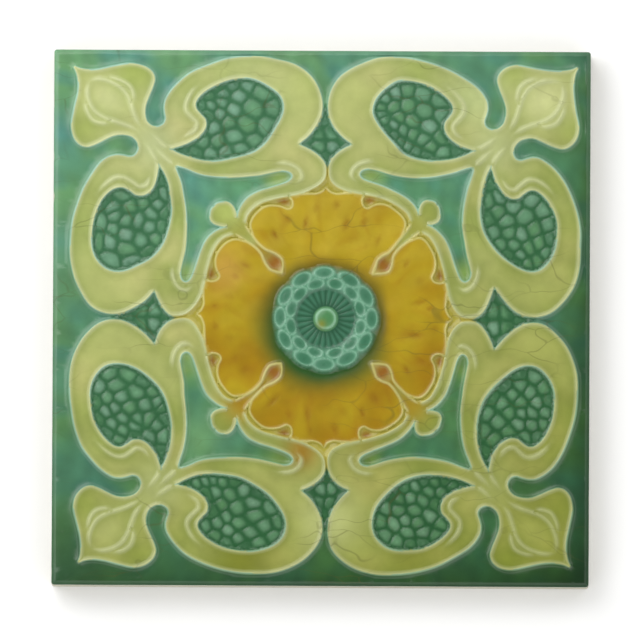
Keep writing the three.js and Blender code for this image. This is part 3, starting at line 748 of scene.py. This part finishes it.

# The mould was cut by hand, so the drawing strays from true. Each entry is a place on it and how far that
# place lies off, in millimetres, read quarter by quarter.
STRAYS = [
    # Upper left
    (-71, 71, 0.6, -0.1), (-70, 66.5, 1.4, 0), (-71.5, 56.5, 1.1, 0), (-65.5, 49.5, 1.0, -0.6),
    (-54, 48.5, 1.9, 0.8), (-67.5, 40, 2.9, 0), (-57, 72, 0, 0), (-48.5, 68, 1.3, 0), (-51.5, 60.5, 1.6, 0),
    (-47.5, 54, 0.4, 0.6), (-44.5, 63.5, 1.4, 0), (-62.5, 56.5, 0.9, 0.7), (-55.5, 61.5, 1.1, 0),
    (-43, 48, 0, 0), (-44.5, 40.5, 2.3, 0), (-21.5, 73.5, 0, 0.7), (-6, 69.5, 1.3, 0.7), (-1, 60.5, 1.0, 0),
    (-7.5, 50, 0.9, -0.3), (-1, 43.5, 1.8, -0.6), (-23.5, 67.5, 0.8, 0.8), (-13, 60.5, 2.7, 0),
    (-19, 50, 2.0, -1.4), (-28.5, 45, 0, -0.5), (-33.5, 65, 0, 0), (-34, 55, 1.4, 0.6),
    (-8.5, 42, 1.6, -1.1), (-26, 40, 0, 0), (-74, 23.5, 2.8, 0), (-73, 15, 2.8, 0), (-70.5, 8, 2.7, 0),
    (-64, 3.5, 1.1, 0), (-60, 1.5, 0, 0), (-50, 8.5, 2.6, 0), (-68, 25, 2.4, 0), (-45.5, 28.5, 2.8, 0),
    (-59.5, 13.5, 2.2, -0.5), (-54, 35, 3.5, 0.5), (-40, 28.5, 1.6, 0), (-42, 15.5, 2.1, 0),
    (-42.5, 12.5, 3, 0.4), (-41, 9.5, 2.9, 0.8), (-47, 5, 2.3, 0), (-38, 14, 2.7, 0), (-36.5, 18.5, 2.5, 0),
    (-34.5, 22, 2, 0), (-32.5, 24, 1.3, 0), (-29, 25.5, 2.3, 0.7), (-33, 33, 1.8, -0.2),
    (-29, 34, 0.3, -0.5), (-26, 31.5, 0.9, -0.4), (-25.5, 29, 2, -1.4), (-22, 34.5, 0.6, -0.6),
    (-14, 38, 0, -1), (-1.5, 40, 2.8, -0.3), (-20.5, 31.5, 1, 0), (-22.5, 30, 2.1, 0),
    (-23.5, 27.5, 2.9, -0.4), (-18.5, 18.5, 1.3, 1.1), (-14.5, 14.5, 2, 0.7), (-11.5, 31.5, 2.3, -0.5),
    (-35.5, 8, 1.9, 0), (-35, 11.5, 2.1, 0), (-34.5, 14.5, 2, 0), (-33, 18, 1.5, 0), (-31.5, 20.5, 1.5, 0),
    (-30, 22.5, 1.2, 0), (-27, 23.5, 3, -0.4), (-31.5, 11.5, 3.5, 1.3), (-32, 16, 2.7, 0.3),
    (-37, 0, 2.3, 1.8), (-71.5, 32, 2.9, 0), (-49.5, 19.5, 3.4, -1),
    # Upper right
    (71, 70.5, 1.4, 0.4), (70, 66, 1.1, 0), (72, 57.5, 0.4, 0), (71, 52, 1.4, 0), (68, 49, 0, -0.6),
    (53.5, 49, 1.0, 0), (48.5, 68.5, 1.1, 0), (51.5, 60.5, 0.8, 0), (45.5, 59, 1.3, 0), (67.5, 64, 0.9, 0),
    (20.5, 73.5, 0, 0.7), (34, 72, 0, 0.6), (15, 64.5, 1.5, -0.5), (16, 52.5, 1.1, 0.8), (34.5, 55, 0.7, 0),
    (2, 44, 1.1, 0), (5, 48, 1.2, -0.5), (8.5, 42, 1.3, -0.4), (0.5, 37.5, 0.6, 0.7), (7, 35.5, 1.0, 0.8),
    (11.5, 31.5, 2, -0.8), (10, 33.5, 2.4, -0.4), (15.5, 32.5, 1.8, 0.4), (20, 30.5, 0.8, 0.2),
    (15, 35, 0.4, 0.6), (5.5, 35.5, 0.6, -0.8), (22.5, 26.5, 1.6, 0), (19, 19, 1, 0), (15, 15, 3.8, 0.3),
    (33, 33, 1, 0.5), (34, 28, -0.3, 0.6), (32.5, 26.5, -1.2, 1.2), (26, 31, 2.6, 0.9), (28, 34, 1.7, -0.5),
    (29, 25.5, 2.5, 1.6), (32.5, 24, 1.6, 0.3), (34.5, 22, 0.6, 0.2), (40, 28.5, -0.2, 0),
    (40.5, 33, -0.3, 0), (41.5, 37, -0.1, 0), (33, 18, 0, 0), (34.5, 14.5, 0, 0), (35, 11.5, -0.1, 0),
    (31.5, 20.5, 0.8, 0), (32.5, 15.5, -0.2, 0), (31.5, 11.5, -0.3, 1.1), (35.5, 10.5, 0.2, -0.8),
    (44.5, 34.5, 1.0, 0), (66.5, 19.5, -1.0, 0), (60, 1, 0, 1.0), (49.5, 7.5, -0.8, 1.7),
    (42, 8.5, -0.2, 1.5), (42.5, 1.5, 0, 0.6), (72, 30, 0, 0), (55, 44, 0, 0), (62, 30, 0, 0),
    (35, 72, 0, 0), (22, 40, 0, 0),
    # Lower left
    (-60, -1, 2.5, 0), (-65.5, -3, 2.5, 0), (-72, -9.5, 2.6, 0), (-73.5, -18, 2.8, 0), (-73.5, -26, 3, 0),
    (-71, -33.5, 2.5, 0), (-49.5, -8, 3, -0.3), (-41.5, -1.5, 1.2, -0.6), (-45.5, -3.5, 1.5, -0.6),
    (-67.5, -22.5, 2.1, 0), (-65, -16, 1.8, 0), (-54, -15, 3, 0), (-48.5, -20.5, 3.5, 0),
    (-45.5, -26.5, 2.8, 0), (-44.5, -32, 2.9, 0), (-47.5, -44, 2.6, 0), (-60, -36.5, 2.7, -0.6),
    (-54.5, -34, 2.8, -1.1), (-64, -33.5, 2, 0), (-66.5, -42.5, 3, 0.5), (-60, -46, 3.1, 0.2),
    (-56, -45, 3.2, -0.2), (-54, -47.5, 3.2, 0.1), (-59, -51.5, 2.6, 0), (-64, -50, 2.5, 0.7),
    (-68, -49, 3.1, 0.7), (-72, -54.5, 2.2, 0.8), (-71, -61.5, 3.1, 0), (-70.5, -67, 3.3, 1.4),
    (-71.5, -71.5, 3.2, 1.6), (-66.5, -70, 2.5, 1.6), (-60, -71.5, 2.2, 1.3), (-55.5, -72, 2.3, 0.7),
    (-49.5, -70, 2, 1.1), (-49, -67.5, 2.4, 1.7), (-50.5, -63.5, 2.5, 1.1), (-51.5, -59, 1.8, 1.4),
    (-48, -53.5, 2.3, 0.3), (-45, -56, 1.9, 0.1), (-46, -60, 2.5, 0.9), (-44, -65, 2.1, 1.3),
    (-67, -66, 1.2, 0.8), (-62, -57, 1.8, 0), (-56, -62, 1.7, 0.9), (-37, -70, 1.2, 1.3),
    (-32, -44.5, 1, 0.3), (-23, -47, 2, 0.8), (-17, -52, 3.4, 0.9), (-13.5, -59.5, 3.9, 1.1),
    (-15, -64, 4, 0.6), (-22.5, -67.5, 2.3, 1), (-31, -65.5, 2, 1), (-36.5, -60.5, 1.8, 0.9),
    (-34.5, -54, 2.6, 0.3), (-37, -50.5, 2.2, 0.6), (-30, -72.5, 0.8, 1.3), (-19.5, -73.5, 1, 1.1),
    (-10, -72, 0.8, 0.8), (-3.5, -67, 0.5, 0), (-1, -60.5, 1.8, 0.3), (-3.5, -53, 2, 0.1),
    (-8, -49.5, 2.1, 0.8), (-3.5, -47.5, 2.2, 0.6), (-1, -43, 2.8, 0), (-9.5, -41, 1.9, 0.3),
    (-13.5, -42.5, 1.8, 0.8), (-19.5, -41, 1, 0.4), (-28.5, -40, 0, 0), (-14, -38, 1.9, 1),
    (-22, -34.5, 1.9, 0.1), (-25.5, -29, 1.3, 0.6), (-41, -9.5, 3.6, -0.5), (-42.5, -12.5, 2.8, -0.5),
    (-42, -15.5, 2, 0), (-40, -24, 0.8, 0), (-40, -28.5, 1.8, 0), (-40.5, -33, 2.4, 0),
    (-41.5, -37, 2.8, 0), (-43, -42, 3, 0), (-38, -14, 2.8, 0), (-34.5, -22, 2.3, 0),
    (-29, -25.5, 2.4, -0.5), (-37, -9, 2.8, 0), (-34, -16, 2.8, 0), (-30, -22, 2.8, 0),
    (-20, -20, 1.4, -1.3), (-14.5, -14.5, 1.6, -0.8), (-23.5, -27.5, 2.8, 0.4), (-12, -32, 1.9, 1),
    (-33, -33, 1.9, 0), (-34, -29, 2.7, 0), (-31.5, -11.5, 3.4, -0.9), (-32.5, -15.5, 3.3, 0),
    (-19, -18, 2.2, -1),
    # Lower right
    (60, 0, 0, -1.7), (43, -0.5, 0, -1.5), (49.5, -8, -1, -1.8), (52, -4, 0, -1.2), (68, -4, -0.9, -1),
    (72, -10, -1.4, -0.3), (73.5, -18.5, -1.1, 0), (73, -26.5, -1, 0), (71, -33.5, -1.1, 0),
    (69, -39, -0.9, 0), (59.5, -13, -0.7, 0), (65, -15.5, -1.3, -0.3), (67.5, -22.5, -1.4, -0.2),
    (66.5, -29, -1, 0), (63, -35, -0.3, 0.2), (59.5, -36.5, 0, 0), (54.5, -34, 0, 0),
    (44.5, -31.5, -0.4, 0), (45.5, -38, -0.8, 0), (41, -9.5, -1.2, -1.2), (42.5, -12.5, -1.2, -0.5),
    (41, -18.5, -0.9, 0), (40, -26.5, -0.7, 0), (40.5, -33.5, -0.7, 0), (42, -39, -0.7, 0),
    (36.5, -18.5, 0.4, 0), (34.5, -22, 0.9, 0), (32.5, -24, 1.4, 0), (29, -25.5, 1.9, -1.4),
    (35.5, -8, 0.1, 0), (35, -11.5, 0.1, 0), (34.5, -14.5, 0.2, 0), (33, -18, 0.5, 0),
    (31.5, -20.5, 0.4, 0), (31.5, -11.5, 0, -1.1), (32.5, -15.5, -0.6, 0), (27.5, -23.5, 1, -0.3),
    (19, -19, 1.4, 0.2), (15, -15, 3.4, -0.8), (11.5, -31.5, 1.1, 0.6), (22, -34.5, 0.5, -0.2),
    (33, -33, 0.9, -0.2), (23.5, -27, 1, 0), (29, -33, 0.3, 0), (9.5, -41, 2, 0.3), (12, -42.5, 1, 0.6),
    (20.5, -40.5, 0, 0.5), (27, -40, 0, 0.8), (34.5, -41, 0, 0.5), (18, -36.5, 0, 0.2), (32, -44.5, 0, 0),
    (24, -46.5, 0, 0.2), (17.5, -51.5, 0.5, 0.2), (13.5, -59.5, 1.5, 0.8), (15, -64, 1.7, 1),
    (22.5, -67.5, 1, 1.7), (31, -65.5, 0, 0.8), (36.5, -60, 0.6, 0.9), (34.5, -55, 0.4, 0.3),
    (35.5, -51.5, -0.5, 0.4), (8, -49.5, 0.6, 1), (1, -60, 1.3, 0), (3, -53, 0.9, 0), (5, -68.5, 0.7, 0.4),
    (12.5, -72.5, 0.2, 0.7), (20.5, -73.5, 0, 0.7), (30, -72.5, 0, 1.1), (38.5, -69, -0.5, 1.4),
    (67, -41.5, -0.5, 0), (60, -46, -0.6, 0), (56, -45, -0.9, 0.4), (53.5, -47.5, -0.8, 0.3),
    (59, -51.5, 0, 0.4), (65, -49.5, -0.2, 0.8), (68, -49, -0.4, 0.6), (72, -55, -0.8, 0.5),
    (71, -61, -0.8, 0.4), (70.5, -66, -0.5, 0.5), (71.5, -71.5, -0.6, 0.9), (66.5, -70, 0, 1),
    (60, -71, 0, 1.3), (55, -72, -0.5, 0.8), (50, -70, -0.4, 0.5), (49, -67.5, -0.4, 0.6),
    (50, -64, -0.7, 0), (51.5, -59, -0.5, 0.8), (48, -53.5, -0.8, 0.3), (45, -56, -0.3, 0.6),
    (46, -60, -0.3, 0.7), (44, -64, -0.4, 1.1), (68, -63, -1.2, 0), (65.5, -57.5, -0.6, 0.3),
    (57, -64, 0, 0.3), (61.5, -67, 0, 1.1), (54.5, -63, -1.2, 0), (44, -48, 0.9, 0.3), (48, -44, 0, -0.4),
    (43, -43, 0, 0), (1.5, -42, 0.9, 0.3), (4, -37, 0.3, 0.3),
]
STRAY_REACH = 5.0
STRAY_CALM = 0.15
BOSS_SHIFT = (1.25, -0.3)


def stray(points):
    """Moves the drawing a little, each point by the mean of the pulls near it.

    The boss was cut true, but stands a little off the middle. The sloped edge stays where it is, and moves
    towards it die away over a wider strip than moves away from it."""
    places = np.array([entry[:2] for entry in STRAYS])
    pulls = np.array([entry[2:] for entry in STRAYS])
    far2 = ((points[:, None, :] - places[None]) ** 2).sum(axis=2)
    near = np.exp(-far2 / STRAY_REACH ** 2)
    moved = (near @ pulls) / (near.sum(axis=1) + STRAY_CALM)[:, None]
    out = rise(np.hypot(points[:, 0], points[:, 1]), 15.8, 20.0)[:, None]
    moved = moved * out + np.array(BOSS_SHIFT) * (1 - out)
    inset = HALF - np.abs(points).max(axis=1)
    outward = inset - (HALF - np.abs(points + moved).max(axis=1))
    hold = rise(inset, EDGE_WIDTH, 1.75 + 0.75 * rise(outward, -0.5, 0.0))
    return points + moved * hold[:, None]


laid = stray(P)
triangles = geometry.delaunay_2d_cdt([Vector(p) for p in face.points], [], [], 0, 1e-6)[2]
mesh = bpy.data.meshes.new("moulded_face")
mesh.from_pydata([(x * MM, y * MM, z * MM) for (x, y), z in zip(laid, Z)], [], [tuple(t) for t in triangles])
mesh.update()
tint = mesh.attributes.new("glaze", "FLOAT_COLOR", "POINT")
tint.data.foreach_set("color", np.column_stack([glaze, np.ones(len(P))]).astype(np.float32).ravel())
tile = bpy.data.objects.new("tile", mesh)
bpy.context.scene.collection.objects.link(tile)


def only(*objects):
    """Selects these objects and nothing else, and makes the first one active."""
    if bpy.context.object and bpy.context.object.mode != "OBJECT":
        bpy.ops.object.mode_set(mode="OBJECT")
    bpy.ops.object.select_all(action="DESELECT")
    for thing in objects:
        thing.select_set(True)
    bpy.context.view_layer.objects.active = objects[0]


def pick_faces(thing, test):
    """In edit mode, selects the faces whose middle and normal pass the test."""
    bpy.ops.mesh.select_mode(type="FACE")
    bpy.ops.mesh.select_all(action="DESELECT")
    bm = bmesh.from_edit_mesh(thing.data)
    for f in bm.faces:
        if test(f.calc_center_median(), f.normal):
            f.select_set(True)
    bmesh.update_edit_mesh(thing.data)


# The body below the face: the face's border is copied off, drawn down to the back and closed there.
# Each step is how far down and how far inward it goes: a strip, the side, and the arris in three bends.
SIDE_STRIP = 0.5
SIDE_STEPS = ((SIDE_STRIP, 0.0), (GROUND - EDGE_DROP - SIDE_STRIP - ARRIS, 0.0),
              (0.3 * ARRIS, 0.12 * ARRIS), (0.4 * ARRIS, 0.38 * ARRIS), (0.3 * ARRIS, 0.5 * ARRIS))
only(tile)
bpy.ops.object.mode_set(mode="EDIT")
bpy.ops.mesh.select_mode(type="EDGE")
bpy.ops.mesh.select_all(action="DESELECT")
bpy.ops.mesh.select_non_manifold()
bpy.ops.mesh.duplicate()
bpy.ops.mesh.separate(type="SELECTED")
bpy.ops.object.mode_set(mode="OBJECT")
body = next(o for o in bpy.context.selected_objects if o is not tile)
only(body)
bpy.ops.object.mode_set(mode="EDIT")
bpy.ops.mesh.select_all(action="SELECT")
for down, inward in SIDE_STEPS:
    bpy.ops.mesh.extrude_region_move(TRANSFORM_OT_translate={"value": (0, 0, -down * MM)})
    bpy.ops.transform.resize(value=(1 - inward / HALF, 1 - inward / HALF, 1), center_override=(0, 0, 0))
bpy.ops.mesh.edge_face_add()

# The keyed back: cuts across it mark out the grooves, which are then pressed in
key_pitch = (SIDE - 2 * KEY_RIM) / KEY_COUNT
key_half_length = HALF - KEY_RIM
key_middles = [(i + 0.5 - KEY_COUNT / 2) * key_pitch for i in range(KEY_COUNT)]


def back_face(middle, normal):
    """Whether a face lies in the flat back, whichever way it is turned."""
    return abs(normal.z) > 0.9 and abs(middle.z) < 1e-5


def groove_face(middle, normal):
    """Whether a face of the back lies between the cuts of a groove."""
    aside = min(abs(middle.x / MM - x) for x in key_middles)
    return back_face(middle, normal) and abs(middle.y) < key_half_length * MM * 0.5 and aside < KEY_WIDTH / 4


cuts = [((x + side * KEY_WIDTH / 2, 0), (1, 0, 0)) for x in key_middles for side in (-1, 1)]
cuts += [((0, side * key_half_length), (0, 1, 0)) for side in (-1, 1)]
for (x, y), across in cuts:
    pick_faces(body, back_face)
    bpy.ops.mesh.bisect(plane_co=(x * MM, y * MM, 0), plane_no=across)
pick_faces(body, groove_face)
bpy.ops.mesh.extrude_region_move(TRANSFORM_OT_translate={"value": (0, 0, KEY_DEPTH * MM)})
bpy.ops.object.mode_set(mode="OBJECT")
only(tile, body)
bpy.ops.object.join()
bpy.ops.object.mode_set(mode="EDIT")
bpy.ops.mesh.select_all(action="SELECT")
bpy.ops.mesh.remove_doubles(threshold=1e-6)
bpy.ops.mesh.normals_make_consistent(inside=False)
bpy.ops.object.mode_set(mode="OBJECT")
bpy.ops.object.shade_smooth_by_angle(angle=math.radians(40))
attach(tile, "root")
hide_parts("glazed_tile")


def node(tree, kind, inputs=None, **settings):
    """Adds a node with its settings, and sets or links its inputs by name or number."""
    made = tree.nodes.new(kind)
    for name, value in settings.items():
        setattr(made, name, value)
    for name, value in (inputs or {}).items():
        if isinstance(value, bpy.types.NodeSocket):
            tree.links.new(value, made.inputs[name])
        else:
            made.inputs[name].default_value = value
    return made


def noise(tree, place, size, detail, output="Fac"):
    """Uneven clouds of about this size, in metres."""
    made = node(tree, "ShaderNodeTexNoise", {"Vector": place, "Scale": 1 / size, "Detail": detail})
    return made.outputs[output]


def remap(tree, value, start, end, first, last):
    """Spreads the range from start to end over the one from first to last, and holds it there."""
    made = node(tree, "ShaderNodeMapRange", {"Value": value, "From Min": start, "From Max": end,
                                             "To Min": first, "To Max": last})
    return made.outputs["Result"]


def maths(tree, operation, *values):
    """Works on plain values."""
    return node(tree, "ShaderNodeMath", dict(enumerate(values)), operation=operation).outputs[0]


def vector_maths(tree, operation, vector, other):
    """Works on a vector, with another vector or with a plain scale."""
    second = "Scale" if operation == "SCALE" else 1
    return node(tree, "ShaderNodeVectorMath", {0: vector, second: other}, operation=operation).outputs[0]


def mix(tree, share, first, second):
    """Mixes two colours."""
    return node(tree, "ShaderNodeMix", {0: share, 6: first, 7: second}, data_type="RGBA").outputs[2]


def rgba(text):
    """An sRGB hex colour as a shader takes it."""
    return (*hue(text), 1.0)


def new_material(name):
    """An empty material and its tree of nodes."""
    material = bpy.data.materials.new(name)
    material.use_nodes = True
    material.node_tree.nodes.clear()
    return material, material.node_tree


def majolica_glaze():
    """Lead glaze, poured in colours over pressed buff clay: glassy, slightly wavy and finely crazed."""
    material, tree = new_material("majolica_lead_glaze")
    place = node(tree, "ShaderNodeTexCoord").outputs["Object"]
    poured = node(tree, "ShaderNodeAttribute", attribute_name="glaze").outputs["Color"]

    # The colour runs a little uneven where the glaze flowed, in clouds of about 6 mm
    cloud = remap(tree, noise(tree, place, 0.006, 3.0), 0.3, 0.7, 0.92, 1.08)
    colour = vector_maths(tree, "SCALE", poured, cloud)

    # Crazing: hairlines about 8 mm apart and longer across the tile, drawn about 0.2 mm wide to show at all
    sway = vector_maths(tree, "SUBTRACT", noise(tree, place, 0.014, 2.0, "Color"), (0.5, 0.5, 0.5))
    bent = vector_maths(tree, "ADD", place, vector_maths(tree, "SCALE", sway, 0.009))
    bent = vector_maths(tree, "MULTIPLY", bent, (0.3, 1.0, 1.0))
    net = node(tree, "ShaderNodeTexVoronoi", {"Vector": bent, "Scale": 1 / 0.008},
               feature="DISTANCE_TO_EDGE").outputs["Distance"]
    hair = remap(tree, net, 0.004, 0.02, 1.0, 0.0)
    patchy = remap(tree, noise(tree, place, 0.02, 1.0), 0.5, 0.68, 0.0, 0.34)
    colour = mix(tree, maths(tree, "MULTIPLY", hair, patchy), colour, rgba("#4A4A22"))

    # The glaze ran a little way down the sides, and below it the buff clay is bare
    height = node(tree, "ShaderNodeSeparateXYZ", {0: place}).outputs["Z"]
    run = maths(tree, "MULTIPLY_ADD", noise(tree, place, 0.011, 2.0), -0.005, 0.0098)
    bare = remap(tree, maths(tree, "SUBTRACT", height, run), 0.0, 0.0003, 1.0, 0.0)
    grain = noise(tree, place, 0.0012, 5.0)
    clay = mix(tree, grain, rgba("#A9A694"), rgba("#C6C3B0"))
    colour = mix(tree, bare, colour, clay)
    rough = remap(tree, bare, 0.0, 1.0, 0.26, 0.85)

    # Glassy surface with a faint swell of about 4 mm, and pores only in the bare clay
    swell = noise(tree, place, 0.004, 1.0)
    swell = node(tree, "ShaderNodeBump", {"Height": swell, "Strength": 0.25, "Distance": 0.0002})
    pores = maths(tree, "MULTIPLY", grain, bare)
    pores = node(tree, "ShaderNodeBump", {"Height": pores, "Strength": 0.6, "Distance": 0.0002,
                                          "Normal": swell.outputs[0]})
    shader = node(tree, "ShaderNodeBsdfPrincipled", {"Base Color": colour, "Roughness": rough, "IOR": 1.47,
                                                     "Normal": pores.outputs[0]})
    node(tree, "ShaderNodeOutputMaterial", {"Surface": shader.outputs[0]})
    return material


def pale_floor():
    """Smooth pale board that gives an even, almost white ground."""
    material, tree = new_material("pale_board")
    shader = node(tree, "ShaderNodeBsdfPrincipled", {"Base Color": rgba("#FCFCFB"), "Roughness": 0.9})
    node(tree, "ShaderNodeOutputMaterial", {"Surface": shader.outputs[0]})
    return material


tile.data.materials.append(majolica_glaze())

# The floor, a hair below the tile's back
FLOOR_SIZE = 6.0
FLOOR_GAP = 0.0002
bpy.ops.mesh.primitive_plane_add(size=FLOOR_SIZE, location=(0, 0, -FLOOR_GAP))
floor = bpy.context.object
floor.name = "floor"
floor.data.materials.append(pale_floor())
floor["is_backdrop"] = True


# Light: a large soft window from the upper left, wide soft fills from the other corners, and a dim pale room
def soft_light(name, at, size, watts):
    """A square lamp that looks at the tile's middle, with its place and its side in metres."""
    lamp = bpy.data.lights.new(name, "AREA")
    lamp.shape = "SQUARE"
    lamp.size = size
    lamp.energy = watts
    holder = bpy.data.objects.new(name, lamp)
    holder.location = at
    holder.rotation_euler = (Vector((0, 0, 0)) - Vector(at)).to_track_quat("-Z", "Y").to_euler()
    bpy.context.scene.collection.objects.link(holder)


ROOM_LIGHT = 0.14
soft_light("window", (-0.72, 0.72, 0.78), 1.5, 19.0)
soft_light("fill", (0.85, -0.85, 0.85), 1.9, 15.0)
soft_light("side_left", (-0.9, -0.9, 0.8), 1.5, 8.0)
soft_light("side_right", (0.9, 0.9, 0.8), 1.5, 8.0)
world = bpy.data.worlds.new("pale_room")
world.use_nodes = True
world.node_tree.nodes["Background"].inputs["Color"].default_value = (1, 1, 1, 1)
world.node_tree.nodes["Background"].inputs["Strength"].default_value = ROOM_LIGHT
bpy.context.scene.world = world

# Camera: far above, leaning back from the lower edge by a few degrees, so that the lower side just shows
LENS = 1500.0
SENSOR = 36.0
VIEW_WIDTH = 182.8
LEAN = math.radians(4.6)
ROLL = math.radians(0.29)
camera_distance = VIEW_WIDTH * LENS / SENSOR * MM
aim = Vector((0.21 * MM, -1.16 * MM, GROUND * MM))
lens = bpy.data.cameras.new("camera")
lens.lens = LENS
lens.sensor_width = SENSOR
lens.clip_start = 0.05
camera = bpy.data.objects.new("camera", lens)
bpy.context.scene.collection.objects.link(camera)
view = Vector((0, -math.sin(LEAN), math.cos(LEAN)))
camera.location = aim + view * camera_distance
right = Vector((0, 1, 0)).cross(view).normalized()
turn = Matrix((right, view.cross(right), view)).transposed() @ Matrix.Rotation(ROLL, 3, "Z")
camera.rotation_euler = turn.to_euler()
bpy.context.scene.camera = camera
bpy.context.scene.view_settings.view_transform = "Standard"

low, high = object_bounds()
